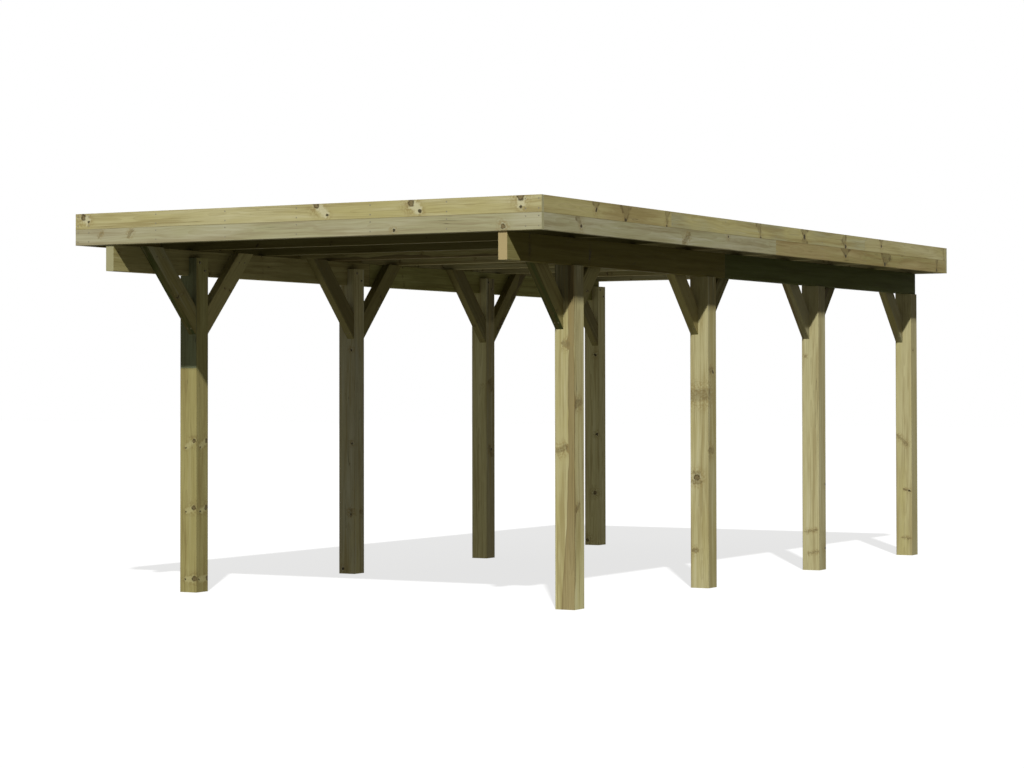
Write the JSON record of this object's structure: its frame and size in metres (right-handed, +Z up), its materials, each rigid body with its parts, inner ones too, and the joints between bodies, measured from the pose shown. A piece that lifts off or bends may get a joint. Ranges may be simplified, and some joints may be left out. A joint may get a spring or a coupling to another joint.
{
  "type": "carport",
  "caption": "Open timber carport with a flat roof on two rows of square posts, knee-braced side beams and a fascia of two boards all round.",
  "frame": {"origin": "on the ground under the centre of the roof", "axes": "+X to the right along the front, +Y towards the back along the parked car, +Z up; the front faces -Y"},
  "size_m": [3.2, 6.4, 2.318],
  "materials": {
    "post_timber": "planed, pressure-treated softwood, matte",
    "beam_timber": "planed, pressure-treated softwood, matte",
    "brace_timber": "planed, pressure-treated softwood, matte",
    "rafter_timber": "planed, pressure-treated softwood, matte",
    "fascia_timber": "planed, pressure-treated softwood, matte",
    "roof_sheet": "opaque ribbed sheet, satin"
  },
  "bodies": {
    "root": {"brace_left_1_front": "brace_timber", "brace_left_1_rear": "brace_timber", "brace_left_2_front": "brace_timber", "brace_left_2_rear": "brace_timber", "brace_left_3_front": "brace_timber", "brace_left_3_rear": "brace_timber", "brace_left_4_front": "brace_timber", "brace_right_1_front": "brace_timber", "brace_right_1_rear": "brace_timber", "brace_right_2_front": "brace_timber", "brace_right_2_rear": "brace_timber", "brace_right_3_front": "brace_timber", "brace_right_3_rear": "brace_timber", "brace_right_4_front": "brace_timber", "fascia_front_lower": "fascia_timber", "fascia_front_upper": "fascia_timber", "fascia_left_lower_1": "fascia_timber", "fascia_left_lower_2": "fascia_timber", "fascia_left_upper_1": "fascia_timber", "fascia_left_upper_2": "fascia_timber", "fascia_left_upper_3": "fascia_timber", "fascia_rear_lower": "fascia_timber", "fascia_rear_upper": "fascia_timber", "fascia_right_lower_1": "fascia_timber", "fascia_right_lower_2": "fascia_timber", "fascia_right_upper_1": "fascia_timber", "fascia_right_upper_2": "fascia_timber", "fascia_right_upper_3": "fascia_timber", "post_left_1": "post_timber", "post_left_2": "post_timber", "post_left_3": "post_timber", "post_left_4": "post_timber", "post_right_1": "post_timber", "post_right_2": "post_timber", "post_right_3": "post_timber", "post_right_4": "post_timber", "rafter_1": "rafter_timber", "rafter_2": "rafter_timber", "rafter_3": "rafter_timber", "rafter_4": "rafter_timber", "rafter_5": "rafter_timber", "rafter_6": "rafter_timber", "rafter_7": "rafter_timber", "rafter_8": "rafter_timber", "rafter_9": "rafter_timber", "roof_sheet_left": "roof_sheet", "roof_sheet_middle": "roof_sheet", "roof_sheet_right": "roof_sheet", "side_beam_left": "beam_timber", "side_beam_right": "beam_timber"}
  },
  "joints": []
}
